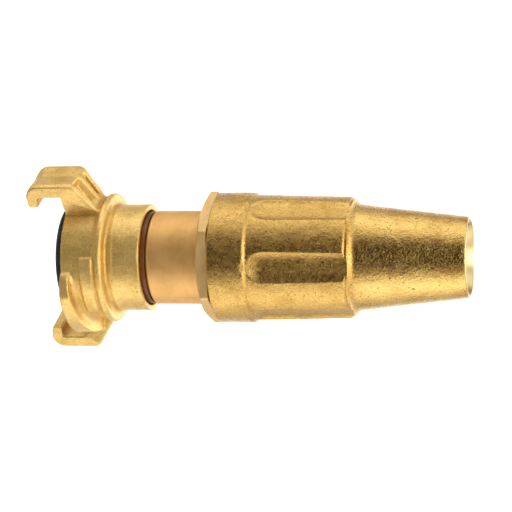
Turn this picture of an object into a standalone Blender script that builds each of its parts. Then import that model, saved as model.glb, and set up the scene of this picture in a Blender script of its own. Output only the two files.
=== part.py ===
"""Brass hose nozzle with a two-claw quick coupling, modelled sub-part by sub-part.

The nozzle's axis is X, with the outlet at +X, and +Z is up. The origin is on the axis, at the
middle of the nozzle's length. Angles round the axis are measured from +Z towards +Y.
Every size below is in millimetres; the mesh helpers turn them into metres.
"""
import math

import bmesh
import bpy
from mathutils import Matrix, Vector

MM = 0.001
GAP = 0.3                     # clearance kept between neighbouring pieces

BODY_SEGMENTS = 48            # facets round the large turned pieces
RING_SEGMENTS = 24            # facets round the small rings

# two-claw quick coupling
LUG_SPACING = 40.0            # distance between the two hook tips
CLAW_ANGLE = 60.0             # direction of the first claw; the other one is opposite
CLAW_HALF_WIDTH = 6.75
CLAW_FRONT = -61.9
LIP_THICKNESS = 3.3
CLAW_INNER = 22.95            # flat inner face of the claw's band
CLAW_OUTER = 26.8
FLANGE_FRONT = -51.6
DRUM_RADIUS = 17.5
RAMP_RADIUS = 21.6
RAMP_FIRST = -14.0            # tip of the first cam ramp
RAMP_LAST = -104.0            # where it runs into the claw
RAMP_LEAD_IN = 18.0           # degrees over which the ramp reaches its full height
RAMP_THIN = 2.6               # axial width of a ramp at its tip
RAMP_THICK = 6.0              # and beside the claw
SEAL_POCKET = 15.8
COLLAR_RADIUS = 15.3
COLLAR_END = -29.5
WATERWAY = 9.0
SPIGOT_RADIUS = 12.5          # the part of the tube that swivels in the coupling
SPIGOT_END = -45.5

# spray tube, and the parts on it
TUBE_RADIUS = 13.35
TUBE_SHOULDER = -28.0
TUBE_FRONT = 22.0
PLUG_HEAD_RADIUS = 8.8
SLIDING_BORE = TUBE_RADIUS + GAP

# adjusting sleeve and its gland nut
SLEEVE_BACK = -9.1
BAND_RADIUS = 18.5
MOUTH = 61.9
MOUTH_BORE = 10.9
THROAT = 7.4
FLUTES = 6
FLUTE_ANGLE = -9.5            # direction of the first flute
FLUTE_HALF_WIDTH = 4.45
FLUTE_START = 2.0
HEX_FLAT = 16.5               # half the width across the gland nut's flats
HEX_CORNER = 22.0             # direction of one corner
NUT_BACK = -12.6


# ---------------------------------------------------------------- helpers

def clear_scene():
    for item in list(bpy.data.objects):
        bpy.data.objects.remove(item, do_unlink=True)


def make_material(name, colour, roughness, metallic):
    material = bpy.data.materials.new(name)
    material.use_nodes = True
    shader = material.node_tree.nodes["Principled BSDF"]
    shader.inputs["Base Color"].default_value = (*colour, 1.0)
    shader.inputs["Roughness"].default_value = roughness
    shader.inputs["Metallic"].default_value = metallic
    return material


def to_object(name, mesh_builder, material, sharp_angle=35.0):
    """Turn a finished bmesh into an object with its own material."""
    bmesh.ops.recalc_face_normals(mesh_builder, faces=mesh_builder.faces)
    mesh = bpy.data.meshes.new(name)
    mesh_builder.to_mesh(mesh)
    mesh_builder.free()
    mesh.shade_smooth()
    mesh.set_sharp_from_angle(angle=math.radians(sharp_angle))
    if material:
        mesh.materials.append(material)
    item = bpy.data.objects.new(name, mesh)
    bpy.context.scene.collection.objects.link(item)
    return item


def turned(name, outline, material=None, segments=RING_SEGMENTS):
    """Spin an outline of (x, radius) points about X. Its ends may lie on the axis."""
    builder = bmesh.new()
    points = [builder.verts.new((x * MM, 0.0, radius * MM)) for x, radius in outline]
    pairs = list(zip(points, points[1:]))
    if outline[0][1] > 0.0:
        pairs.append((points[-1], points[0]))
    lines = [builder.edges.new(pair) for pair in pairs]
    bmesh.ops.spin(builder, geom=points + lines, cent=(0, 0, 0), axis=(1, 0, 0),
                   angle=math.tau, steps=segments, use_merge=True)
    bmesh.ops.remove_doubles(builder, verts=builder.verts, dist=1e-7)
    return to_object(name, builder, material)


def arc(centre, radius, first, last, steps):
    """Points on an arc in the (x, radius) plane; angles in degrees from +x."""
    points = []
    for step in range(steps + 1):
        angle = math.radians(first + (last - first) * step / steps)
        points.append((centre[0] + radius * math.cos(angle), centre[1] + radius * math.sin(angle)))
    return points


def o_ring(name, x, radius, thickness, material, sides=8):
    """A round-section ring: radius is that of its centre line."""
    circle = arc((x, radius), thickness / 2, 0.0, 360.0, sides)[:-1]
    return turned(name, circle, material)


def flat_ring(name, x_range, inner, outer, material):
    low, high = x_range
    return turned(name, [(low, outer), (high, outer), (high, inner), (low, inner)], material)


def layered(name, layers, material=None):
    """A closed solid through outlines with the same number of points, first to last."""
    builder = bmesh.new()
    rings = [[builder.verts.new(Vector(point) * MM) for point in layer] for layer in layers]
    count = len(rings[0])
    for lower, upper in zip(rings, rings[1:]):
        for i in range(count):
            j = (i + 1) % count
            builder.faces.new((lower[i], lower[j], upper[j], upper[i]))
    builder.faces.new(rings[0][::-1])
    builder.faces.new(rings[-1])
    return to_object(name, builder, material)


def round_axis(point, degrees):
    """Turn a point about X by an angle measured from +Z towards +Y."""
    return Matrix.Rotation(math.radians(-degrees), 3, "X") @ Vector(point)


def turn_object(item, degrees):
    item.data.transform(Matrix.Rotation(math.radians(-degrees), 4, "X"))
    return item


def combine(target, tool, operation):
    """Add a live Boolean to target and mark its tool as a guide that is never built."""
    modifier = target.modifiers.new(f"{operation.lower()} {tool.name}", "BOOLEAN")
    modifier.operation = operation
    modifier.solver = "EXACT"
    modifier.object = tool
    tool.hide_render = True
    tool.display_type = "WIRE"


# ---------------------------------------------------------------- coupling

def coupling_outline():
    """Outside of the coupling, from the axis at the front to the axis at the collar's end."""
    outline = [(FLANGE_FRONT, 0.0), (FLANGE_FRONT, DRUM_RADIUS - 0.3),
               (FLANGE_FRONT + 0.3, DRUM_RADIUS), (-42.9, DRUM_RADIUS), (-42.2, 17.75)]
    outline += arc((-40.9, 17.2), 1.35, 125.0, 15.0, 5)
    outline += arc((-37.4, 17.4), 2.1, 205.0, 270.0, 4)
    outline += [(COLLAR_END - 0.3, COLLAR_RADIUS), (COLLAR_END, COLLAR_RADIUS - 0.3),
                (COLLAR_END, 0.0)]
    return outline


def coupling_bore():
    """Space inside the coupling: seal pocket, waterway, swivel bore and snap ring groove."""
    bore = SPIGOT_RADIUS + GAP
    return [(CLAW_FRONT, 0.0), (CLAW_FRONT, SEAL_POCKET), (-47.3, SEAL_POCKET),
            (-47.3, WATERWAY + 0.2), (-45.9, WATERWAY + 0.2), (-45.9, bore), (-35.0, bore),
            (-35.0, bore + 0.7), (-33.6, bore + 0.7), (-33.6, bore), (-30.9, bore),
            (-30.9, 13.6), (COLLAR_END + 1.0, 13.6), (COLLAR_END + 1.0, 0.0)]


def claw_side():
    """Side outline of a claw, as (x, radius) points, lip tip first."""
    lip_back = CLAW_FRONT + LIP_THICKNESS
    tip = LUG_SPACING / 2
    corner = arc((CLAW_FRONT + 3.6, CLAW_OUTER - 3.6), 3.6, 90.0, 180.0, 4)
    return [(CLAW_FRONT, tip), (lip_back, tip), (lip_back, CLAW_INNER),
            (FLANGE_FRONT, CLAW_INNER), (FLANGE_FRONT, 13.0), (-41.9, 13.0), (-41.9, 17.6),
            (-47.3, 25.9), (-48.6, CLAW_OUTER)] + corner


def claw(name, degrees):
    sides = []
    for side in (-CLAW_HALF_WIDTH, CLAW_HALF_WIDTH):
        sides.append([(x, side, radius) for x, radius in claw_side()])
    item = layered(name, sides)
    bevel = item.modifiers.new("rounded edges", "BEVEL")
    bevel.width = 0.7 * MM
    bevel.segments = 2
    bevel.limit_method = "ANGLE"
    bevel.angle_limit = math.radians(50.0)
    return turn_object(item, degrees)


def claw_pocket(name, degrees):
    """Cutter for the three-cornered hollow between the two ribs at a claw's root."""
    top, foot = (-49.9, 26.3), (-43.0, 17.1)
    depth = Vector((-1.15, 0.0, -1.0))
    outline = [Vector((top[0], -4.2, top[1])), Vector((top[0], 4.2, top[1])),
               Vector((foot[0], 1.6, foot[1])), Vector((foot[0], -1.6, foot[1]))]
    layers = [[point + depth * reach for point in outline] for reach in (1.0, -4.0)]
    return turn_object(layered(name, layers), degrees)


def cam_ramp(name, offset):
    """Ramp that draws the other coupling's claw in: it thickens from its tip to the claw."""
    steps = 16
    root = DRUM_RADIUS - 0.9
    layers = []
    for step in range(steps + 1):
        share = step / steps
        angle = RAMP_FIRST + (RAMP_LAST - RAMP_FIRST) * share
        lead = min(1.0, (RAMP_FIRST - angle) / RAMP_LEAD_IN)
        crest = DRUM_RADIUS + 0.8 + (RAMP_RADIUS - DRUM_RADIUS - 0.8) * lead
        width = RAMP_THIN + (RAMP_THICK - RAMP_THIN) * share
        front = FLANGE_FRONT + 0.1
        fillet = min(2.0, crest - DRUM_RADIUS)
        back = front + width
        section = [(front, root), (front, crest - 0.4), (front + 0.4, crest), (back - 0.4, crest),
                   (back, crest - 0.3), (back + 0.25 * fillet, DRUM_RADIUS + 0.45 * fillet),
                   (back + fillet, DRUM_RADIUS - 0.05), (back + fillet, root)]
        layers.append([round_axis((x, 0.0, radius), angle + offset) for x, radius in section])
    return layered(name, layers)


def blank_pad(name, offset):
    """Raised rectangle on the drum, left without any marking."""
    layers = []
    steps = 12
    for step in range(steps + 1):
        angle = -1.0 - 57.0 * step / steps + offset
        section = [(-46.8, 16.8), (-46.8, DRUM_RADIUS + 0.3), (-46.4, DRUM_RADIUS + 0.55),
                   (-42.1, DRUM_RADIUS + 0.55), (-41.6, 16.8)]
        layers.append([round_axis((x, 0.0, radius), angle) for x, radius in section])
    return layered(name, layers)


def build_coupling(brass):
    body = turned("coupling_body", coupling_outline(), brass, BODY_SEGMENTS)
    for side in range(2):
        offset = 180.0 * side
        tag = "ab"[side]
        combine(body, claw(f"claw_{tag}", CLAW_ANGLE + offset), "UNION")
        combine(body, cam_ramp(f"ramp_{tag}", offset), "UNION")
        combine(body, blank_pad(f"pad_{tag}", offset), "UNION")
        combine(body, claw_pocket(f"claw_pocket_{tag}", CLAW_ANGLE + offset), "DIFFERENCE")
    bore = turned("coupling_bore", coupling_bore(), None, BODY_SEGMENTS)
    combine(body, bore, "DIFFERENCE")
    return body


def build_seal(rubber):
    """Face seal of the coupling: it stands proud of the flange and has a soft inner lip."""
    outer = SEAL_POCKET - GAP
    back = -47.3 - GAP
    front = -53.9
    outline = [(back, outer), (back, 10.2), (-50.2, 10.2), (-50.2, 11.6), (-51.4, 11.6),
               (-52.2, 9.8), (-53.0, 9.8), (front + 0.1, 10.5), (front, 11.2),
               (front, outer - 0.9), (front + 0.3, outer - 0.25), (front + 0.9, outer)]
    return turned("coupling_seal", outline[::-1], rubber)


# ---------------------------------------------------------------- tube

def build_tube(brass):
    """Tube with a grooved spigot at the back, a plain outside, and a bored front end."""
    bore = WATERWAY + 0.6
    outline = [(SPIGOT_END, SPIGOT_RADIUS - 0.4), (SPIGOT_END + 0.4, SPIGOT_RADIUS),
               (-43.4, SPIGOT_RADIUS), (-43.4, 10.7), (-40.8, 10.7), (-40.8, SPIGOT_RADIUS),
               (-35.0, SPIGOT_RADIUS), (-35.0, 11.3), (-33.6, 11.3), (-33.6, SPIGOT_RADIUS),
               (-32.0, SPIGOT_RADIUS), (-32.0, 12.0), (TUBE_SHOULDER, 12.0),
               (TUBE_SHOULDER, TUBE_RADIUS - 0.4), (TUBE_SHOULDER + 0.4, TUBE_RADIUS),
               (14.0, TUBE_RADIUS), (14.5, 12.8), (16.0, 12.8), (16.0, 12.1), (17.5, 12.1),
               (17.5, 12.8), (18.1, 12.8), (18.1, 11.3), (20.7, 11.3), (20.7, 12.8),
               (TUBE_FRONT - 0.4, 12.8), (TUBE_FRONT, 12.4), (TUBE_FRONT, bore), (13.2, bore),
               (13.2, WATERWAY), (SPIGOT_END, WATERWAY)]
    return turned("spray_tube", outline, brass, BODY_SEGMENTS)


def build_plug(brass):
    """Hollow jet plug: four cross holes feed the water round its conical head."""
    head = PLUG_HEAD_RADIUS
    outline = [(27.0, 0.0), (27.0, 5.0), (13.5, 5.0), (13.5, 9.3), (21.7, 9.3), (21.7, 7.2),
               (28.6, 7.2), (30.2, head), (31.0, head), (31.0, 7.9), (32.8, 7.9), (32.8, head),
               (33.3, head), (38.2, 4.4), (38.6, 3.6), (38.6, 0.0)]
    plug = turned("jet_plug", outline, brass)
    for index, axis in enumerate("YZ"):
        hole = bmesh.new()
        bmesh.ops.create_cone(hole, cap_ends=True, segments=16, radius1=1.9 * MM,
                              radius2=1.9 * MM, depth=20.0 * MM)
        turn = Matrix.Rotation(math.radians(90.0 * (axis == "Y")), 4, "X")
        hole.transform(Matrix.Translation((24.6 * MM, 0.0, 0.0)) @ turn)
        combine(plug, to_object(f"cross_hole_{index + 1}", hole, None), "DIFFERENCE")
    return plug


# ---------------------------------------------------------------- sleeve

def sleeve_outline():
    """Outside of the adjusting sleeve from its back face to the mouth, then its inside."""
    outside = [(SLEEVE_BACK, BAND_RADIUS - 0.2), (SLEEVE_BACK + 0.2, BAND_RADIUS),
               (0.8, BAND_RADIUS), (1.3, BAND_RADIUS - 0.15), (1.9, 17.85), (2.4, 17.78),
               (27.9, 17.13)]
    outside += arc((28.5, 16.25), 0.85, 80.0, 15.0, 3)
    outside += arc((32.1, 17.1), 2.2, 195.0, 263.0, 4)
    outside += [(61.0, 11.42), (MOUTH - 0.2, MOUTH_BORE + 0.48), (MOUTH, MOUTH_BORE + 0.4)]
    inside = [(MOUTH, MOUTH_BORE), (61.6, MOUTH_BORE - 0.2), (47.0, THROAT), (45.0, THROAT),
              (45.0, 10.5), (41.0, 10.5), (27.0, 14.6), (13.0, 14.6),
              (13.0, SLIDING_BORE), (2.4, SLIDING_BORE), (2.4, 15.4), (-1.5, 15.4), (-1.5, 16.6),
              (SLEEVE_BACK, 16.6)]
    return outside + inside


def flute_cutter(index):
    """Flat hollow along the sleeve: dished at the band end and open at the shoulder."""
    centre = FLUTE_START + FLUTE_HALF_WIDTH
    end = 33.0
    steps = 8
    floor_at = {centre: 16.5, end: 16.1}

    def ring(reach, half_width, lift):
        points = []
        for step in range(steps + 1):
            angle = math.radians(90.0 + 180.0 * step / steps)
            points.append((centre + reach * math.cos(angle), half_width * math.sin(angle),
                           floor_at[centre] + lift))
        points += [(end, -half_width, floor_at[end] + lift), (end, half_width, floor_at[end] + lift)]
        return points

    layers = [ring(1.4, FLUTE_HALF_WIDTH - 0.35, 0.0), ring(2.9, FLUTE_HALF_WIDTH - 0.2, 0.3),
              ring(FLUTE_HALF_WIDTH, FLUTE_HALF_WIDTH, 1.25),
              ring(FLUTE_HALF_WIDTH + 0.3, FLUTE_HALF_WIDTH + 0.1, 4.0)]
    cutter = layered(f"flute_{index + 1}", layers)
    return turn_object(cutter, FLUTE_ANGLE + 360.0 * index / FLUTES)


def build_sleeve(brass):
    sleeve = turned("adjusting_sleeve", sleeve_outline(), brass, BODY_SEGMENTS)
    for index in range(FLUTES):
        combine(sleeve, flute_cutter(index), "DIFFERENCE")
    return sleeve


def build_gland_nut(brass):
    """Hexagon nut, chamfered at its outer face, with a plain spigot inside the sleeve."""
    corner = HEX_FLAT / math.cos(math.radians(30.0))
    root = SLEEVE_BACK - 0.3
    layers = []
    for x in (NUT_BACK, root):
        layers.append([round_axis((x, 0.0, corner), HEX_CORNER + 60.0 * k) for k in range(6)])
    nut = layered("gland_nut", layers, brass)
    chamfer = turned("nut_chamfer", [(NUT_BACK - 1.0, 0.0), (NUT_BACK - 1.0, 14.0),
                                     (NUT_BACK + 1.1, 18.85), (root + 1.0, 18.85),
                                     (root + 1.0, 0.0)], None, BODY_SEGMENTS)
    spigot = turned("nut_spigot", [(root - 1.0, 0.0), (root - 1.0, 16.3), (-1.8, 16.3),
                                   (-1.8, 0.0)], None, BODY_SEGMENTS)
    bore = turned("nut_bore", [(NUT_BACK - 1.0, 0.0), (NUT_BACK - 1.0, 14.65),
                               (NUT_BACK + 0.1, 14.0),
                               (NUT_BACK + 0.45, SLIDING_BORE), (0.0, SLIDING_BORE),
                               (0.0, 0.0)], None, BODY_SEGMENTS)
    combine(nut, chamfer, "INTERSECT")
    combine(nut, spigot, "UNION")
    combine(nut, bore, "DIFFERENCE")
    return nut


# ---------------------------------------------------------------- all pieces

def build_rings(rubber, spring_steel, plastic, brass):
    flat_ring("snap_ring", (-34.7, -33.9), 11.6, 13.2, spring_steel)
    flat_ring("slip_washer", (-30.6, -28.3), 12.3, 13.2, plastic)
    flat_ring("backup_washer", (-1.2, -0.1), SLIDING_BORE, 15.1, plastic)
    flat_ring("stop_ring", (16.3, 17.2), 12.4, 14.2, spring_steel)
    flat_ring("seat_ring", (41.3, 44.7), THROAT, 10.2, brass)
    o_ring("swivel_o_ring", -42.1, 11.75, 1.5, rubber)
    o_ring("gland_o_ring", 1.05, 14.38, 1.4, rubber)
    o_ring("front_o_ring", 19.4, 12.95, 2.0, rubber)
    o_ring("plug_o_ring", 31.9, 8.9, 1.3, rubber)


def main():
    clear_scene()
    cast_brass = make_material("cast_brass", (0.78, 0.57, 0.26), 0.38, 1.0)
    turned_brass = make_material("turned_brass", (0.80, 0.56, 0.25), 0.25, 1.0)
    rubber = make_material("rubber", (0.02, 0.02, 0.023), 0.55, 0.0)
    spring_steel = make_material("spring_steel", (0.55, 0.55, 0.56), 0.3, 1.0)
    plastic = make_material("slip_plastic", (0.10, 0.09, 0.08), 0.45, 0.0)
    build_coupling(cast_brass)
    build_seal(rubber)
    build_tube(turned_brass)
    build_plug(turned_brass)
    build_sleeve(cast_brass)
    build_gland_nut(turned_brass)
    build_rings(rubber, spring_steel, plastic, turned_brass)


main()
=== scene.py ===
"""Looks of the brass hose nozzle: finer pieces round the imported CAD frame, materials and studio.

Sizes are in millimetres and become metres in the mesh helpers. The nozzle's axis is X with the
outlet at +X. Angles round it run from +Z towards +Y. The camera looks down on the nozzle.
"""
import math

import bmesh
import bpy
import numpy as np
from mathutils import Matrix, Vector, noise


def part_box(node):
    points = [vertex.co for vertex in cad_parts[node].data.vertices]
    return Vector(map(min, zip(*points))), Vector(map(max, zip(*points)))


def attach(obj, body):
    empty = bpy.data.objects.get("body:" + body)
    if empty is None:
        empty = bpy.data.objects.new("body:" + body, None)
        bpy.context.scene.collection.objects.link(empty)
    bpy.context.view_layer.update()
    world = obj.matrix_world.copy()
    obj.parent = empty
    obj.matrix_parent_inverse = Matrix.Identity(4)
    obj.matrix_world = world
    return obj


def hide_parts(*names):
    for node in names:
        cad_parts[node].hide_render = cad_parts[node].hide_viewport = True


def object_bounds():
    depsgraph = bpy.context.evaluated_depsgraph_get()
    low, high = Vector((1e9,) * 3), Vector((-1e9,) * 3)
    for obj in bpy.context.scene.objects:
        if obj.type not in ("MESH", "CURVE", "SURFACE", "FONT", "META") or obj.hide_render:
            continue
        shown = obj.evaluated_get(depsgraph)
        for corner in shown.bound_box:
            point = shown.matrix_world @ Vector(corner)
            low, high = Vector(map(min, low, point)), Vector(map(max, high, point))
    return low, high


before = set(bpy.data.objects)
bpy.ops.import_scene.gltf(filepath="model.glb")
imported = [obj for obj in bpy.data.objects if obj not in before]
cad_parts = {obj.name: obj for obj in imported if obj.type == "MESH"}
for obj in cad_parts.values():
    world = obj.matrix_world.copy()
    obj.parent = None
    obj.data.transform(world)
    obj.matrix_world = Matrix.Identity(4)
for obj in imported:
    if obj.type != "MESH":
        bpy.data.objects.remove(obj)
CAD_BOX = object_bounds()

MM = 0.001


def box_mm(node):
    """Lowest and highest corners of a CAD node, in millimetres."""
    low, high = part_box(node)
    return [value / MM for value in low], [value / MM for value in high]


# ---------------------------------------------------------------- sizes from the frame

(CLAW_FRONT, *_), (COLLAR_END, *_) = box_mm("coupling_body")
(SEAL_FRONT, *_), (SEAL_BACK, _, SEAL_OUTER) = box_mm("coupling_seal")
(SPIGOT_END, *_), (TUBE_FRONT, _, TUBE_RADIUS) = box_mm("spray_tube")
(NUT_BACK, *_), (NUT_SPIGOT_END, *_) = box_mm("gland_nut")
(SLEEVE_BACK, *_), (MOUTH, _, BAND_RADIUS) = box_mm("adjusting_sleeve")
(PLUG_BACK, *_), (PLUG_TIP, *_) = box_mm("jet_plug")

# the CAD model's driving sizes, repeated because the frame holds only its solids
LUG_SPACING = 40.0
CLAW_ANGLE = 60.0
CLAW_HALF_WIDTH = 6.75
LIP_THICKNESS = 3.3
CLAW_INNER = 22.95
CLAW_OUTER = 26.8
CLAW_ROOT = 16.6
CLAW_SHOULDER = (-47.3, 25.9)
CLAW_FOOT = (-42.1, 17.7)
CLAW_TAPER = 2.1              # how much narrower its root is, on each side
SKIN_ROOM = 0.06              # kept free inside the CAD box for the casting's dents
FLANGE_FRONT = -51.6
DRUM_RADIUS = 17.5
PAD_RADIUS = 18.35
SKIN_VOXEL = 0.3
RAMP_RADIUS = 21.6
RAMP_FIRST, RAMP_LAST = -14.0, -104.0
RAMP_LEAD_IN = 18.0
RAMP_THIN, RAMP_THICK = 2.1, 6.0
SEAL_POCKET = 15.8
COLLAR_RADIUS = 15.3
WATERWAY = 9.0
SPIGOT_RADIUS = 12.5
SWIVEL_BORE = 12.8
TUBE_SHOULDER = -28.0
SLIDING_BORE = 13.65
MOUTH_BORE = 10.9
THROAT = 7.4
FLUTES = 6
FLUTE_ANGLE = -9.5
FLUTE_HALF_WIDTH = 4.45
FLUTE_START = 1.7
FLUTE_END = 5.2
HEX_FLAT = 16.5
HEX_CORNER = 22.0


# ---------------------------------------------------------------- mesh helpers

def arc(centre, radius, first, last, steps):
    """Points on an arc in the (x, radius) plane; angles in degrees from +x."""
    angles = np.radians(np.linspace(first, last, steps + 1))
    return [(centre[0] + radius * math.cos(a), centre[1] + radius * math.sin(a)) for a in angles]


def link(name, mesh, material, sharp_angle=None):
    """Put a mesh in the scene, shaded smooth, with one material."""
    mesh.shade_smooth()
    if sharp_angle:
        mesh.set_sharp_from_angle(angle=math.radians(sharp_angle))
    if material:
        mesh.materials.append(material)
    piece = bpy.data.objects.new(name, mesh)
    bpy.context.scene.collection.objects.link(piece)
    return piece


def ring_mesh(name, rings, capped=False):
    """Mesh through rings with equal numbers of points (arrays in mm). The last ring joins the
    first unless capped, when each end is closed with one face."""
    count = len(rings[0])
    total = len(rings)
    faces = []
    for row in range(total - 1 if capped else total):
        a, b = row * count, (row + 1) % total * count
        for i in range(count):
            j = (i + 1) % count
            faces.append((a + i, b + i, b + j, a + j))
    if capped:
        faces.append(tuple(range(count)))
        faces.append(tuple(range((total - 1) * count, total * count)))
    mesh = bpy.data.meshes.new(name)
    mesh.from_pydata([tuple(p) for p in np.concatenate(rings) * MM], [], faces)
    tidy = bmesh.new()
    tidy.from_mesh(mesh)
    bmesh.ops.recalc_face_normals(tidy, faces=tidy.faces)
    tidy.to_mesh(mesh)
    tidy.free()
    return mesh


def circle(x, radius, angles):
    """Ring of points round X; x and radius may be numbers or arrays."""
    x = np.broadcast_to(x, angles.shape)
    return np.stack([x, radius * np.sin(angles), radius * np.cos(angles)], axis=1)


def turned_mesh(name, outline, segments=160, solid=False):
    """Mesh of an (x, radius) outline turned round X; a solid one is closed at both ends."""
    angles = np.linspace(0.0, math.tau, segments, endpoint=False)
    rings = [circle(x, radius, angles) for x, radius in outline]
    return ring_mesh(name, rings, capped=solid)


def softened(outline, radius, steps=3, closed=True):
    """Round every corner of an (x, radius) outline with a small arc-like curve."""
    result = []
    count = len(outline)
    for i, corner in enumerate(outline):
        if not closed and i in (0, count - 1):
            result.append(corner)
            continue
        here = Vector(corner)
        before, after = Vector(outline[i - 1]), Vector(outline[(i + 1) % count])
        to_before, to_after = before - here, after - here
        reach = min(radius, 0.45 * to_before.length, 0.45 * to_after.length)
        start = here + to_before.normalized() * reach
        end = here + to_after.normalized() * reach
        for step in range(steps + 1):
            t = step / steps
            point = start * (1 - t) ** 2 + here * 2 * t * (1 - t) + end * t ** 2
            result.append((point.x, point.y))
    return result


def rotate_mesh(mesh, degrees):
    """Turn a mesh round X, from +Z towards +Y."""
    mesh.transform(Matrix.Rotation(math.radians(-degrees), 4, "X"))
    return mesh


def round_axis(point, degrees):
    """Turn a point round X, from +Z towards +Y."""
    return Matrix.Rotation(math.radians(-degrees), 3, "X") @ Vector(point)


def evaluated_mesh(piece, name):
    """The mesh of a piece with its modifiers applied."""
    bpy.context.view_layer.update()
    shape = piece.evaluated_get(bpy.context.evaluated_depsgraph_get())
    mesh = bpy.data.meshes.new_from_object(shape)
    mesh.name = name
    return mesh


def ride_for(piece, body, *nodes):
    """The piece stands for CAD nodes and moves with their body."""
    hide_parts(*nodes)
    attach(piece, body)
    return piece


# ---------------------------------------------------------------- material helpers

class Nodes:
    """Short way to write a material's node tree."""

    def __init__(self, name):
        self.material = bpy.data.materials.new(name)
        self.material.use_nodes = True
        self.tree = self.material.node_tree
        self.shader = self.tree.nodes["Principled BSDF"]
        self.coordinates = self.tree.nodes.new("ShaderNodeTexCoord").outputs["Object"]

    def add(self, kind, inputs=None, **settings):
        node = self.tree.nodes.new(kind)
        for key, value in settings.items():
            setattr(node, key, value)
        for key, value in (inputs or {}).items():
            if isinstance(value, bpy.types.NodeSocket):
                self.tree.links.new(value, node.inputs[key])
            else:
                node.inputs[key].default_value = value
        return node

    def set(self, **values):
        for key, value in values.items():
            socket = self.shader.inputs[key.replace("_", " ")]
            if isinstance(value, bpy.types.NodeSocket):
                self.tree.links.new(value, socket)
            else:
                socket.default_value = value

    def stretched(self, scale):
        """Object coordinates times a factor along each axis."""
        inputs = {"Vector": self.coordinates, "Scale": scale}
        return self.add("ShaderNodeMapping", inputs).outputs[0]

    def noise(self, size_mm, detail=3.0, roughness=0.55, distortion=0.0, vector=None):
        inputs = {"Vector": vector or self.coordinates, "Scale": 1.0 / (size_mm * MM),
                  "Detail": detail, "Roughness": roughness, "Distortion": distortion}
        return self.add("ShaderNodeTexNoise", inputs).outputs["Fac"]

    def remap(self, value, low, high, to_low, to_high, smooth=False):
        kind = "SMOOTHSTEP" if smooth else "LINEAR"
        inputs = {"Value": value, "From Min": low, "From Max": high,
                  "To Min": to_low, "To Max": to_high}
        return self.add("ShaderNodeMapRange", inputs, interpolation_type=kind).outputs[0]

    def mix(self, factor, first, second):
        node = self.add("ShaderNodeMix", data_type="RGBA")
        for socket, value in zip((node.inputs[0], node.inputs[6], node.inputs[7]),
                                 (factor, first, second)):
            if isinstance(value, bpy.types.NodeSocket):
                self.tree.links.new(value, socket)
            else:
                socket.default_value = value if isinstance(value, float) else (*value, 1.0)
        return node.outputs[2]

    def math(self, operation, first, second):
        return self.add("ShaderNodeMath", {0: first, 1: second}, operation=operation).outputs[0]

    def bump(self, height, depth_mm, normal=None, strength=1.0):
        inputs = {"Height": height, "Distance": depth_mm * MM, "Strength": strength}
        if normal:
            inputs["Normal"] = normal
        return self.add("ShaderNodeBump", inputs).outputs[0]


def cast_brass(name, tone, dark, grain_mm, grain_depth, lump_depth, gloss, pits, speckle=0.45,
               metallic=1.0, dull_until=None):
    """Tumbled brass casting: grain, soft lumps, dull tarnish, dark pits and painted shade in its
    creases. If a place along X is given, the casting is duller and its grain deeper up to there."""
    m = Nodes(name)
    grain = m.noise(grain_mm, 5.0, 0.62, 0.6)
    lumps = m.noise(3.4, 2.0, 0.5, 0.3)
    patches = m.noise(7.0, 4.0, 0.6)
    speck = m.noise(0.5, 2.0, 0.5, 0.8)
    pit = m.remap(speck, pits, pits + 0.05, 0.0, 1.0, True)
    tarnish = m.remap(patches, 0.42, 0.72, 0.0, 0.55, True)
    grain_shade = m.remap(grain, 0.3, 0.62, speckle, 0.0, True)
    colour = m.mix(tarnish, tone, dark)
    colour = m.mix(grain_shade, colour, dark)
    colour = m.mix(pit, colour, (0.10, 0.055, 0.02))
    # painted shade: ambient occlusion darkens the colour towards brown in creases and between
    # features, where shade falls
    painted_crease_shade = m.add("ShaderNodeAmbientOcclusion", {"Distance": 1.8 * MM}, samples=8,
                     only_local=True).outputs["AO"]
    colour = m.mix(m.remap(painted_crease_shade, 0.5, 0.97, 0.9, 0.0), colour, (0.46, 0.21, 0.01))
    rough = m.remap(m.noise(1.6, 3.0), 0.35, 0.68, gloss, gloss + 0.16)
    height = grain
    if dull_until:
        along = m.add("ShaderNodeSeparateXYZ", {0: m.coordinates}).outputs["X"]
        dull = m.remap(along, (dull_until - 3) * MM, (dull_until + 3) * MM, 1.0, 0.0, True)
        rough = m.math("ADD", rough, m.remap(dull, 0.0, 1.0, 0.0, 0.06))
        colour = m.mix(m.remap(dull, 0.0, 1.0, 0.0, 0.3), colour, dark)
        height = m.math("MULTIPLY", grain, m.remap(dull, 0.0, 1.0, 1.0, 1.3))
    rough = m.math("MAXIMUM", rough, m.remap(pit, 0.0, 1.0, 0.0, 0.6))
    normal = m.bump(lumps, lump_depth)
    normal = m.bump(height, grain_depth, normal)
    normal = m.bump(pit, -0.05, normal)
    m.set(Base_Color=colour, Metallic=metallic, Roughness=rough, Normal=normal)
    return m.material


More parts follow.
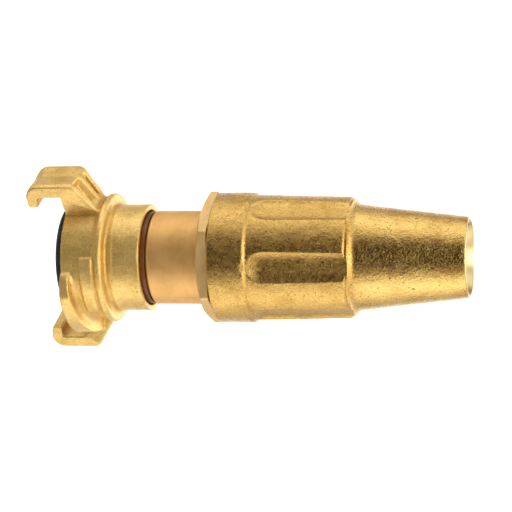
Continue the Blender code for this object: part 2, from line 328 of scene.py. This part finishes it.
def turned_brass(name, tone, dark, gloss, line_mm=0.16, line_depth=0.004, anisotropy=0.55,
                 metallic=1.0):
    """Lathe-turned brass: fine rings round X, faint scratches and warm stains."""
    m = Nodes(name)
    rings = m.noise(1.0, 3.0, 0.7, 0.0, m.stretched((1.0 / line_mm, 0.03, 0.03)))
    broad = m.noise(1.0, 2.0, 0.5, 0.0, m.stretched((1.1, 0.12, 0.12)))
    stains = m.noise(5.0, 4.0, 0.6, 0.4)
    scratch = m.noise(1.0, 2.0, 0.6, 1.2, m.stretched((0.5, 5.0, 5.0)))
    colour = m.mix(m.remap(stains, 0.4, 0.75, 0.0, 0.5, True), tone, dark)
    colour = m.mix(m.remap(rings, 0.35, 0.6, 0.22, 0.0), colour, dark)
    rough = m.remap(broad, 0.3, 0.7, gloss, gloss + 0.12)
    normal = m.bump(rings, line_depth)
    normal = m.bump(scratch, 0.006, normal)
    tangent = m.add("ShaderNodeTangent", direction_type="RADIAL", axis="X").outputs[0]
    m.set(Base_Color=colour, Metallic=metallic, Roughness=rough, Anisotropic=anisotropy,
          Normal=normal, Tangent=tangent)
    return m.material


def black_rubber():
    m = Nodes("seal_rubber")
    grain = m.noise(0.35, 3.0, 0.6)
    dust = m.noise(2.5, 4.0, 0.65)
    colour = m.mix(m.remap(dust, 0.45, 0.8, 0.0, 0.6), (0.012, 0.010, 0.013), (0.035, 0.034, 0.042))
    rough = m.remap(m.noise(1.2), 0.3, 0.7, 0.32, 0.5)
    m.set(Base_Color=colour, Roughness=rough, Normal=m.bump(grain, 0.02))
    return m.material


def spring_steel():
    m = Nodes("ring_steel")
    streaks = m.noise(1.0, 3.0, 0.6, 0.0, m.stretched((6.0, 0.6, 0.6)))
    colour = m.mix(streaks, (0.42, 0.42, 0.44), (0.62, 0.62, 0.63))
    rough = m.remap(streaks, 0.3, 0.7, 0.25, 0.4)
    m.set(Base_Color=colour, Metallic=1.0, Roughness=rough, Normal=m.bump(streaks, 0.01))
    return m.material


def slip_plastic():
    m = Nodes("washer_plastic")
    grain = m.noise(0.3, 3.0, 0.6)
    colour = m.mix(m.noise(2.0, 3.0), (0.06, 0.014, 0.001), (0.14, 0.04, 0.003))
    m.set(Base_Color=colour, Roughness=m.remap(grain, 0.3, 0.7, 0.25, 0.4),
          Normal=m.bump(grain, 0.015))
    return m.material


COUPLING_BRASS = cast_brass("coupling_brass", (0.93, 0.64, 0.22), (0.56, 0.33, 0.07),
                            0.42, 0.12, 0.12, 0.28, 0.68, speckle=0.65, metallic=0.80)
SLEEVE_BRASS = cast_brass("sleeve_brass", (0.94, 0.63, 0.20), (0.55, 0.29, 0.06),
                          0.55, 0.14, 0.14, 0.15, 0.66, dull_until=30.0)
TUBE_BRASS = turned_brass("tube_brass", (0.90, 0.54, 0.19), (0.64, 0.34, 0.10), 0.46,
                          anisotropy=0.3, metallic=0.85)
NUT_BRASS = turned_brass("nut_brass", (0.88, 0.59, 0.25), (0.64, 0.38, 0.14), 0.42,
                         anisotropy=0.2, metallic=0.82)
PLUG_BRASS = turned_brass("plug_brass", (0.90, 0.68, 0.33), (0.70, 0.46, 0.18), 0.18)
RUBBER = black_rubber()
STEEL = spring_steel()
PLASTIC = slip_plastic()


# ---------------------------------------------------------------- coupling casting

def coupling_outside():
    """Drum, ridge, the thinner ridge beside it and the collar."""
    outline = [(FLANGE_FRONT, DRUM_RADIUS), (-42.5, DRUM_RADIUS), (-41.8, 17.9)]
    outline += arc((-40.6, 17.5), 1.1, 130.0, 0.0, 8)
    outline += arc((-38.4, 16.4), 1.1, 190.0, 250.0, 8)
    outline += [(-37.7, COLLAR_RADIUS + 0.25), (-37.1, COLLAR_RADIUS)]
    outline += [(COLLAR_END - 0.25, COLLAR_RADIUS), (COLLAR_END, COLLAR_RADIUS - 0.25)]
    return outline


def coupling_bore():
    """Bore from the collar's end to the flange, with the ring's groove and the seal's pocket."""
    return [(COLLAR_END, 13.6), (-30.9, 13.6), (-30.9, SWIVEL_BORE), (-33.6, SWIVEL_BORE),
            (-33.6, SWIVEL_BORE + 0.7), (-35.0, SWIVEL_BORE + 0.7), (-35.0, SWIVEL_BORE),
            (-45.9, SWIVEL_BORE), (-45.9, WATERWAY + 0.2), (-47.3, WATERWAY + 0.2),
            (-47.3, SEAL_POCKET), (FLANGE_FRONT, SEAL_POCKET)]


def claw_mesh(name):
    """A hooked claw: valley along its back, narrower towards its root."""
    front = CLAW_FRONT + SKIN_ROOM
    lip_back = CLAW_FRONT + LIP_THICKNESS
    tip = LUG_SPACING / 2
    corner = arc((front + 3.6, CLAW_OUTER - 3.6), 3.6, 90.0, 180.0, 8)
    side = [(front + 0.5, tip), (lip_back, tip), (lip_back, CLAW_INNER),
            (FLANGE_FRONT, CLAW_INNER), (FLANGE_FRONT, CLAW_ROOT), (CLAW_FOOT[0], CLAW_ROOT),
            CLAW_FOOT, CLAW_SHOULDER, (CLAW_SHOULDER[0] - 1.3, CLAW_OUTER)] + corner
    rings = []
    for share in np.linspace(-1.0, 1.0, 17):
        valley = 0.45 * max(0.0, 1.0 - abs(share) / 0.75)
        edge = 0.45 * max(0.0, (abs(share) - 0.8) / 0.2) ** 2
        ring = []
        for x, radius in side:
            narrow = min(1.0, max(0.0, (CLAW_INNER - radius) / 5.4)) if x >= FLANGE_FRONT else 0.0
            across = share * (CLAW_HALF_WIDTH - SKIN_ROOM / 2 - CLAW_TAPER * narrow)
            if radius > CLAW_INNER + 0.5:
                radius -= valley + edge
            elif radius == CLAW_ROOT:
                radius = math.sqrt(CLAW_ROOT ** 2 - across ** 2)
            ring.append((x, across, radius))
        rings.append(np.array(ring))
    return ring_mesh(name, rings, capped=True)


# hollows in a claw's sloping back: corners as (share of the way down, mm across), and depth
HOLLOWS = [([(-0.14, -4.9), (-0.06, 0.9), (0.84, 0.6), (0.9, -2.9)], 2.3),
           ([(0.0, 2.2), (-0.04, 4.6), (0.92, 3.4), (0.92, 1.9)], 1.3)]


def hollow_mesh(name, corners, depth):
    """Cutter with slanting walls for one hollow between a claw's ribs."""
    top, foot = np.array(CLAW_SHOULDER), np.array(CLAW_FOOT)
    slope = foot - top
    outward = np.array([-slope[1], slope[0]]) / np.hypot(*slope)
    middle = np.mean(corners, axis=0)
    layers = []
    for height, spread in ((1.0, 1.2), (-depth, 0.55)):
        layer = []
        for down, across in middle + (np.array(corners) - middle) * spread:
            x, radius = top + slope * down + outward * height
            layer.append((x, across, radius))
        layers.append(np.array(layer))
    return ring_mesh(name, layers, capped=True)


def ramp_mesh(name, offset):
    """Cam ramp on the flange, which rises from the drum and grows thicker along its way."""
    steps = 48
    root = DRUM_RADIUS - 0.9
    rings = []
    for step in range(steps + 1):
        share = step / steps
        angle = RAMP_FIRST + (RAMP_LAST - RAMP_FIRST) * share
        lead = min(1.0, (RAMP_FIRST - angle) / RAMP_LEAD_IN)
        crest = DRUM_RADIUS + 0.3 + (RAMP_RADIUS - DRUM_RADIUS - 0.3) * lead ** 0.8
        front = FLANGE_FRONT
        back = front + RAMP_THIN + (RAMP_THICK - RAMP_THIN) * share
        fillet = min(2.0, crest - DRUM_RADIUS)
        section = [(front, root), (front, crest), (back, crest)]
        section += arc((back + fillet, DRUM_RADIUS + fillet), fillet, 180.0, 270.0, 6)
        section += [(back + fillet, root)]
        rings.append(np.array([round_axis((x, 0.0, r), angle + offset) for x, r in section]))
    return ring_mesh(name, rings, capped=True)


def pad_mesh(name, offset):
    """Blank raised pad on the drum."""
    rings = []
    for angle in np.linspace(-1.0, -58.0, 30):
        section = [(-46.0, 16.8), (-45.9, PAD_RADIUS), (-42.4, PAD_RADIUS),
                   (-42.2, 16.8)]
        rings.append(np.array([round_axis((x, 0.0, r), angle + offset) for x, r in section]))
    return ring_mesh(name, rings, capped=True)


def combine(target, mesh, operation):
    """Add a boolean with a mesh to a piece; returns the tool, which is removed afterwards."""
    tool = link(mesh.name, mesh, None)
    modifier = target.modifiers.new(mesh.name, "BOOLEAN")
    modifier.operation = operation
    modifier.solver = "EXACT"
    modifier.object = tool
    return tool


def build_coupling():
    """Lay the casting's solids into each other, then remesh and relax them into one skin."""
    outline = coupling_outside() + coupling_bore()
    solids = [link("core", turned_mesh("core", outline, 160), None)]
    for offset in (0.0, 180.0):
        claw = link("claw", rotate_mesh(claw_mesh("claw"), CLAW_ANGLE + offset), None)
        tools = [combine(claw, rotate_mesh(hollow_mesh("hollow", *hollow), CLAW_ANGLE + offset),
                         "DIFFERENCE") for hollow in HOLLOWS]
        claw.data = evaluated_mesh(claw, "claw_cut")
        claw.modifiers.clear()
        for tool in tools:
            bpy.data.objects.remove(tool, do_unlink=True)
        solids += [claw, link("ramp", ramp_mesh("ramp", offset), None),
                   link("pad", pad_mesh("pad", offset), None)]
    joined = bmesh.new()
    for solid in solids:
        joined.from_mesh(solid.data)
        bpy.data.objects.remove(solid, do_unlink=True)
    mesh = bpy.data.meshes.new("coupling_solids")
    joined.to_mesh(mesh)
    joined.free()
    casting = link("coupling_casting", mesh, None)
    remesh = casting.modifiers.new("one skin", "REMESH")
    remesh.mode = "VOXEL"
    remesh.voxel_size = SKIN_VOXEL * MM
    relax = casting.modifiers.new("rounded edges", "SMOOTH")
    relax.factor = 0.5
    relax.iterations = 2
    casting.data = evaluated_mesh(casting, "coupling_casting")
    casting.modifiers.clear()
    dent_surface(casting.data, 2.6, 0.05)
    casting.data.shade_smooth()
    casting.data.materials.append(COUPLING_BRASS)
    return ride_for(casting, "coupling", "coupling_body")


def dent_surface(mesh, size_mm, depth_mm):
    """Push points along their normals by smooth noise, as a casting's skin is never even."""
    points = np.empty(len(mesh.vertices) * 3)
    normals = np.empty(len(mesh.vertices) * 3)
    mesh.vertices.foreach_get("co", points)
    mesh.vertex_normals.foreach_get("vector", normals)
    places = points.reshape(-1, 3) / (size_mm * MM)
    lifts = np.array([noise.noise(Vector(place)) for place in places]) * depth_mm * MM
    moved = points + normals * np.repeat(lifts, 3)
    mesh.vertices.foreach_set("co", moved)
    mesh.update()


def build_seal():
    """Lip seal in the coupling's face."""
    outline = [(SEAL_BACK, SEAL_OUTER), (SEAL_BACK, 10.2), (-50.2, 10.2), (-50.2, 11.6),
               (-51.4, 11.6), (-52.2, 9.8), (-53.0, 9.8), (SEAL_FRONT + 0.1, 10.5),
               (SEAL_FRONT, 11.2), (SEAL_FRONT, SEAL_OUTER - 0.6),
               (SEAL_FRONT + 0.6, SEAL_OUTER)]
    mesh = turned_mesh("seal_ring", softened(outline, 0.5))
    return ride_for(link("seal_ring", mesh, RUBBER), "coupling", "coupling_seal")


# ---------------------------------------------------------------- tube and plug

def build_tube():
    """Spray tube with its spigot, grooves and shoulder."""
    bore = WATERWAY + 0.6
    outline = [(SPIGOT_END, SPIGOT_RADIUS - 0.4), (SPIGOT_END + 0.4, SPIGOT_RADIUS),
               (-43.4, SPIGOT_RADIUS), (-43.4, 10.7), (-40.8, 10.7), (-40.8, SPIGOT_RADIUS),
               (-35.0, SPIGOT_RADIUS), (-35.0, 11.3), (-33.6, 11.3), (-33.6, SPIGOT_RADIUS),
               (-32.0, SPIGOT_RADIUS), (-32.0, 12.0), (TUBE_SHOULDER, 12.0),
               (TUBE_SHOULDER, TUBE_RADIUS - 0.45), (TUBE_SHOULDER + 0.45, TUBE_RADIUS),
               (-20.0, TUBE_RADIUS), (-10.0, TUBE_RADIUS), (0.0, TUBE_RADIUS),
               (14.0, TUBE_RADIUS), (14.5, 12.8), (16.0, 12.8), (16.0, 12.1), (17.5, 12.1),
               (17.5, 12.8), (18.1, 12.8), (18.1, 11.3), (20.7, 11.3), (20.7, 12.8),
               (TUBE_FRONT - 0.4, 12.8), (TUBE_FRONT, 12.4), (TUBE_FRONT, bore), (13.2, bore),
               (13.2, WATERWAY), (SPIGOT_END, WATERWAY)]
    mesh = turned_mesh("tube", softened(outline, 0.12, 2), 192)
    return ride_for(link("tube", mesh, TUBE_BRASS, 50.0), "tube", "spray_tube")


def build_plug():
    """Jet plug with its conical nose and four cross holes."""
    head = 8.8
    outline = [(27.0, 0.02), (27.0, 5.0), (PLUG_BACK, 5.0), (PLUG_BACK, 9.3), (21.7, 9.3),
               (21.7, 7.2), (28.6, 7.2), (30.2, head), (31.0, head), (31.0, 7.9), (32.8, 7.9),
               (32.8, head), (33.3, head), (38.2, 4.4), (PLUG_TIP, 3.6), (PLUG_TIP, 0.02)]
    mesh = turned_mesh("plug", softened(outline, 0.15, 2, closed=False), 96, solid=True)
    plug = link("spray_plug", mesh, PLUG_BRASS, 50.0)
    tools = []
    for turn in (0.0, 90.0):
        angles = np.linspace(0.0, math.tau, 32, endpoint=False)
        rings = []
        for height in (-12.0, 12.0):
            across = 24.6 + 1.9 * np.cos(angles)
            side = 1.9 * np.sin(angles)
            rings.append(np.stack([across, side, np.full_like(side, height)], axis=1))
        hole = rotate_mesh(ring_mesh("cross_hole", rings, capped=True), turn)
        tools.append(combine(plug, hole, "DIFFERENCE"))
    shape = evaluated_mesh(plug, "spray_plug_cut")
    plug.modifiers.clear()
    plug.data = shape
    for helper in tools:
        bpy.data.objects.remove(helper, do_unlink=True)
    return ride_for(plug, "tube", "jet_plug")


# ---------------------------------------------------------------- sleeve

def smooth_min(first, second, reach):
    """The lower of two heights, blended where they are within reach of each other."""
    share = np.clip(0.5 + 0.5 * (second - first) / reach, 0.0, 1.0)
    return second * (1 - share) + first * share - reach * share * (1 - share)


def sleeve_profile():
    """Outside of the sleeve: plain band, step, fluted grip, shoulder, cone and rim."""
    points = [(SLEEVE_BACK, BAND_RADIUS - 0.22), (SLEEVE_BACK + 0.22, BAND_RADIUS),
              (0.85, BAND_RADIUS), (1.15, BAND_RADIUS - 0.1), (1.75, 17.88), (2.05, 17.80),
              (27.9, 17.13)]
    points += arc((28.5, 16.25), 0.85, 80.0, 15.0, 6)
    points += arc((32.1, 17.1), 2.2, 195.0, 263.0, 8)
    points += [(60.95, 11.43), (MOUTH - 0.3, MOUTH_BORE + 0.42), (MOUTH, MOUTH_BORE + 0.2)]
    return softened(points, 0.3, 3, closed=False)


def sleeve_inside():
    """Bore of the sleeve from the mouth back: funnel, throat, chamber and sliding bore."""
    return [(MOUTH, MOUTH_BORE), (61.5, MOUTH_BORE - 0.25), (57.6, 8.7), (47.0, THROAT),
            (45.0, THROAT), (45.0, 10.5), (41.0, 10.5), (27.0, 14.6), (13.0, 14.6),
            (13.0, SLIDING_BORE), (2.4, SLIDING_BORE), (2.4, 15.4), (-1.5, 15.4),
            (-1.5, 16.6), (SLEEVE_BACK, 16.6)]


def flute_floor(x, angle):
    """Distance from the axis to the flute cutter's surface, at x and an angle off its middle."""
    reference = 17.0
    across = reference * np.tan(angle)
    centre = FLUTE_START + FLUTE_END
    behind = np.maximum(0.0, centre - x) * FLUTE_HALF_WIDTH / FLUTE_END
    reach = np.hypot(behind, across) + 1e-9
    endwise = (behind / reach) ** 2
    steepness = 4.2 * (1 - endwise) + 1.6 * endwise
    wall = (0.75 + 0.55 * endwise) * np.minimum(reach / FLUTE_HALF_WIDTH, 1.6) ** steepness
    floor = 16.46 - (x - centre) * 0.0135
    return (floor + np.minimum(wall, 12.0)) / np.cos(angle)


def flute_angles():
    """Angles round the sleeve, closest together where the flutes' walls are."""
    half = math.degrees(math.asin(FLUTE_HALF_WIDTH / 17.1))
    pitch = 360.0 / FLUTES
    part = np.concatenate([np.linspace(-half - 1.6, -half + 2.2, 16, endpoint=False),
                           np.linspace(-half + 2.2, half - 2.2, 18, endpoint=False),
                           np.linspace(half - 2.2, half + 1.6, 16, endpoint=False),
                           np.linspace(half + 1.6, pitch - half - 1.6, 20, endpoint=False)])
    return np.concatenate([np.radians(part + FLUTE_ANGLE + pitch * k) for k in range(FLUTES)])


def build_sleeve():
    """Adjusting sleeve: cast outside with six flutes, turned inside."""
    angles = flute_angles()
    pitch = math.tau / FLUTES
    off_flute = (angles - math.radians(FLUTE_ANGLE) + pitch / 2) % pitch - pitch / 2
    profile = sleeve_profile()
    stations = sorted({round(x, 4) for x, _ in profile}
                      | {round(x, 4) for x in np.arange(1.2, 8.0, 0.16)}
                      | {round(x, 4) for x in np.arange(8.0, 33.5, 0.45)}
                      | {round(x, 4) for x in np.arange(34.0, 61.0, 0.9)}
                      | {round(x, 4) for x in np.arange(-8.5, 1.0, 0.8)})
    xs, rs = zip(*sorted(profile))
    rings = []
    for x in stations:
        land = float(np.interp(x, xs, rs))
        if FLUTE_START - 1.0 < x < 33.5:
            radius = smooth_min(np.full_like(angles, land), flute_floor(x, off_flute), 0.22)
        else:
            radius = np.full_like(angles, land)
        rings.append(circle(x, radius, angles))
    for x, radius in softened(sleeve_inside(), 0.12, 2, closed=False):
        rings.append(circle(x, radius, angles))
    mesh = ring_mesh("sleeve_casting", rings)
    dent_outside(mesh)
    sleeve = link("sleeve_casting", mesh, SLEEVE_BRASS, 60.0)
    mesh.materials.append(PLUG_BRASS)
    for face in mesh.polygons:
        x, y, z = (value / MM for value in face.center)
        radius = math.hypot(y, z)
        inside = radius < np.interp(x, xs, rs) - 1.9 or x > MOUTH - 0.12
        funnel = x > 44.0 and radius < MOUTH_BORE + 0.15
        face.material_index = 1 if inside or funnel else 0
    return ride_for(sleeve, "sleeve", "adjusting_sleeve")


def dent_outside(mesh):
    """Cast unevenness on the sleeve's skin; the turned band edge and the bore stay true."""
    for vertex in mesh.vertices:
        x = vertex.co.x / MM
        radius = math.hypot(vertex.co.y, vertex.co.z) / MM
        fade = min(1.0, max(0.0, (x - SLEEVE_BACK - 0.6) / 1.5), max(0.0, (MOUTH - 1.5 - x) / 2.0))
        if radius < 11.3 or fade <= 0.0 or (radius < 15.8 and x < 31.0):
            continue
        broad = noise.noise(vertex.co / (3.0 * MM)) * 0.06
        lift = broad + noise.noise(vertex.co / (1.1 * MM)) * 0.02
        vertex.co.y *= 1.0 + (lift - 0.02) * fade / radius
        vertex.co.z *= 1.0 + (lift - 0.02) * fade / radius
    mesh.update()


def build_nut():
    """Hexagon with a chamfered outer face and a spigot into the sleeve."""
    half = math.radians(30.0)
    part = np.concatenate([np.linspace(-half, -half * 0.9, 4, endpoint=False),
                           np.linspace(-half * 0.9, half * 0.9, 26, endpoint=False),
                           np.linspace(half * 0.9, half, 4, endpoint=False)])
    first = math.radians(HEX_CORNER) + half
    angles = np.concatenate([part + first + math.tau * k / 6 for k in range(6)])
    from_flat = np.concatenate([part] * 6)
    flats = HEX_FLAT / np.cos(from_flat)
    back = SLEEVE_BACK - 0.3
    stations = np.concatenate([np.linspace(NUT_BACK, NUT_BACK + 1.4, 12),
                               [-10.4, back - 0.12, back]])
    rings = []
    for x in stations:
        chamfer = 16.35 + (x - NUT_BACK) * 2.3
        limit = min(chamfer, 18.9 if x < back else 18.8)
        rings.append(circle(x, smooth_min(flats, np.full_like(flats, limit), 0.12), angles))
    inside = [(back, 16.3), (NUT_SPIGOT_END - 0.3, 16.3), (NUT_SPIGOT_END, 16.0),
              (NUT_SPIGOT_END, SLIDING_BORE), (NUT_BACK + 0.45, SLIDING_BORE),
              (NUT_BACK + 0.1, 14.0), (NUT_BACK, 14.65)]
    rings += [circle(x, radius, angles) for x, radius in inside]
    nut = link("hex_nut", ring_mesh("hex_nut", rings), NUT_BRASS, 22.0)
    return ride_for(nut, "sleeve", "gland_nut")


# ---------------------------------------------------------------- rings

RINGS = {
    "snap_ring": ("coupling", STEEL, 11.6), "slip_washer": ("coupling", PLASTIC, 12.3),
    "backup_washer": ("packing", PLASTIC, SLIDING_BORE), "stop_ring": ("tube", STEEL, 12.4),
    "seat_ring": ("sleeve", PLUG_BRASS, THROAT),
}
O_RINGS = {"swivel_o_ring": "tube", "front_o_ring": "tube", "plug_o_ring": "tube",
           "gland_o_ring": "packing"}


def build_rings():
    """Washers and rings with softened corners, and O-rings, each in its CAD solid's box."""
    for node, (body, material, inner) in RINGS.items():
        (low, *_), (high, _, outer) = box_mm(node)
        outline = softened([(low, outer), (high, outer), (high, inner), (low, inner)], 0.15, 3)
        mesh = turned_mesh(node + "_fine", outline, 128)
        ride_for(link(node + "_fine", mesh, material), body, node)
    for node, body in O_RINGS.items():
        (low, *_), (high, _, outer) = box_mm(node)
        thick = (high - low) / 2
        outline = arc(((low + high) / 2, outer - thick), thick, 0.0, 360.0, 20)[:-1]
        mesh = turned_mesh(node + "_fine", outline, 128)
        ride_for(link(node + "_fine", mesh, RUBBER), body, node)


# ---------------------------------------------------------------- studio

CAMERA_TILT = 12.9            # degrees from straight down towards the outlet
CAMERA_LENS = 135.0
CAMERA_SENSOR = 36.0
CAMERA_DISTANCE = 0.5455
CAMERA_AIM = Vector((0.00098, 0.00037, 0.0))


def build_camera():
    """Long lens above the nozzle, tilted towards its outlet."""
    data = bpy.data.cameras.new("camera")
    data.lens = CAMERA_LENS
    data.sensor_width = CAMERA_SENSOR
    data.clip_start = 0.01
    camera = bpy.data.objects.new("camera", data)
    bpy.context.scene.collection.objects.link(camera)
    tilt = math.radians(CAMERA_TILT)
    camera.location = CAMERA_AIM + CAMERA_DISTANCE * Vector((math.sin(tilt), 0.0, math.cos(tilt)))
    camera.rotation_euler = (0.0, tilt, 0.0)
    bpy.context.scene.camera = camera


def build_floor():
    """Plain pale floor under the nozzle, which the brass doesn't reflect."""
    size = 3.0
    lowest = CAD_BOX[0][2]
    corners = [(-size, -size, lowest), (size, -size, lowest), (size, size, lowest),
               (-size, size, lowest)]
    mesh = bpy.data.meshes.new("floor")
    mesh.from_pydata(corners, [], [(0, 1, 2, 3)])
    m = Nodes("floor_white")
    tone = m.mix(m.noise(120.0), (0.86, 0.86, 0.86), (0.88, 0.88, 0.88))
    m.set(Base_Color=tone, Roughness=0.9, Emission_Color=(1.0, 1.0, 1.0, 1.0),
          Emission_Strength=0.75)
    floor = link("floor", mesh, m.material)
    floor.visible_glossy = False
    floor.visible_shadow = False


# brightness of the studio by the angle round X; a dim band is warm, like the room behind
SKY_BANDS = [(-180, 1.7), (-165, 1.5), (-150, 1.0), (-130, 0.35), (-112, 0.9), (-78, 1.7),
             (-58, 1.4), (-44, 0.3), (-30, 0.04), (22, 0.03), (42, 0.08), (56, 0.6), (72, 1.6),
             (98, 1.3), (116, 0.6), (128, 0.25), (142, 0.4), (160, 1.5), (180, 1.7)]
SKY_DIM = (1.0, 0.68, 0.36)
SKY_OUTLET_END = 0.8          # off the axis, and the lamp beyond the mouth above it
SKY_OUTLET_LAMP = 2.6
SKY_HOSE_END = 0.4


def build_sky():
    """Studio as the brass sees it: long soft boxes on both sides, dark towards the camera."""
    world = bpy.data.worlds.new("studio")
    bpy.context.scene.world = world
    world.use_nodes = True
    tree = world.node_tree
    tree.nodes.clear()

    def add(kind, **settings):
        node = tree.nodes.new(kind)
        for key, value in settings.items():
            setattr(node, key, value)
        return node

    direction = add("ShaderNodeTexCoord")
    split = add("ShaderNodeSeparateXYZ")
    around = add("ShaderNodeMath", operation="ARCTAN2")
    turn = add("ShaderNodeMapRange")
    turn.inputs["From Min"].default_value = -math.pi
    turn.inputs["From Max"].default_value = math.pi
    bands = add("ShaderNodeValToRGB")
    ramp = bands.color_ramp
    ramp.interpolation = "EASE"
    while len(ramp.elements) > 1:
        ramp.elements.remove(ramp.elements[-1])
    peak = max(level for _, level in SKY_BANDS)
    for index, (degrees, level) in enumerate(SKY_BANDS):
        place = (degrees + 180.0) / 360.0
        stop = ramp.elements[0] if index == 0 else ramp.elements.new(place)
        stop.position = place
        dimness = max(0.0, 1.0 - level / 0.7)
        stop.color = [level / peak * (1.0 + (tint - 1.0) * dimness) for tint in SKY_DIM] + [1.0]
    off_axis = add("ShaderNodeMath", operation="ABSOLUTE")
    tree.links.new(split.outputs["Y"], off_axis.inputs[0])

    def blend_in(base, source, edges, colour):
        """Blend a colour over the base where the source goes from one edge to the other."""
        share = add("ShaderNodeMapRange", interpolation_type="SMOOTHSTEP")
        share.inputs["From Min"].default_value, share.inputs["From Max"].default_value = edges
        tree.links.new(source, share.inputs["Value"])
        blend = add("ShaderNodeMix", data_type="RGBA")
        tree.links.new(share.outputs[0], blend.inputs[0])
        for socket, value in ((blend.inputs[6], base), (blend.inputs[7], colour)):
            if isinstance(value, float):
                socket.default_value = (value / peak, value / peak, value / peak, 1.0)
            else:
                tree.links.new(value, socket)
        return blend.outputs[2]

    outlet = blend_in(SKY_OUTLET_END, off_axis.outputs[0], (0.5, 0.1), SKY_OUTLET_LAMP)
    lit = blend_in(bands.outputs[0], split.outputs["X"], (0.38, 0.75), outlet)
    lit = blend_in(lit, split.outputs["X"], (-0.45, -0.9), SKY_HOSE_END)
    seen = add("ShaderNodeLightPath")
    pick = add("ShaderNodeMix", data_type="RGBA")
    pale = 0.93 / peak
    pick.inputs[7].default_value = (pale, pale, pale, 1.0)
    background = add("ShaderNodeBackground")
    background.inputs["Strength"].default_value = peak
    output = add("ShaderNodeOutputWorld")
    for start, end in ((direction.outputs["Generated"], split.inputs[0]),
                       (split.outputs["Y"], around.inputs[0]),
                       (split.outputs["Z"], around.inputs[1]),
                       (around.outputs[0], turn.inputs["Value"]),
                       (turn.outputs[0], bands.inputs[0]),
                       (seen.outputs["Is Camera Ray"], pick.inputs[0]),
                       (lit, pick.inputs[6]),
                       (pick.outputs[2], background.inputs["Color"]),
                       (background.outputs[0], output.inputs[0])):
        tree.links.new(start, end)


def build_fill():
    """Wide soft lamp overhead: it lifts the matt skins and doesn't show in the polished ones."""
    data = bpy.data.lights.new("fill", "AREA")
    data.size = 0.5
    data.energy = 2.6
    fill = bpy.data.objects.new("fill", data)
    bpy.context.scene.collection.objects.link(fill)
    fill.location = (0.05, 0.0, 0.5)
    fill.visible_glossy = False


def main():
    build_coupling()
    build_seal()
    build_tube()
    build_plug()
    build_sleeve()
    build_nut()
    build_rings()
    build_camera()
    build_floor()
    build_sky()
    build_fill()
    bpy.context.scene.view_settings.view_transform = "Standard"


main()
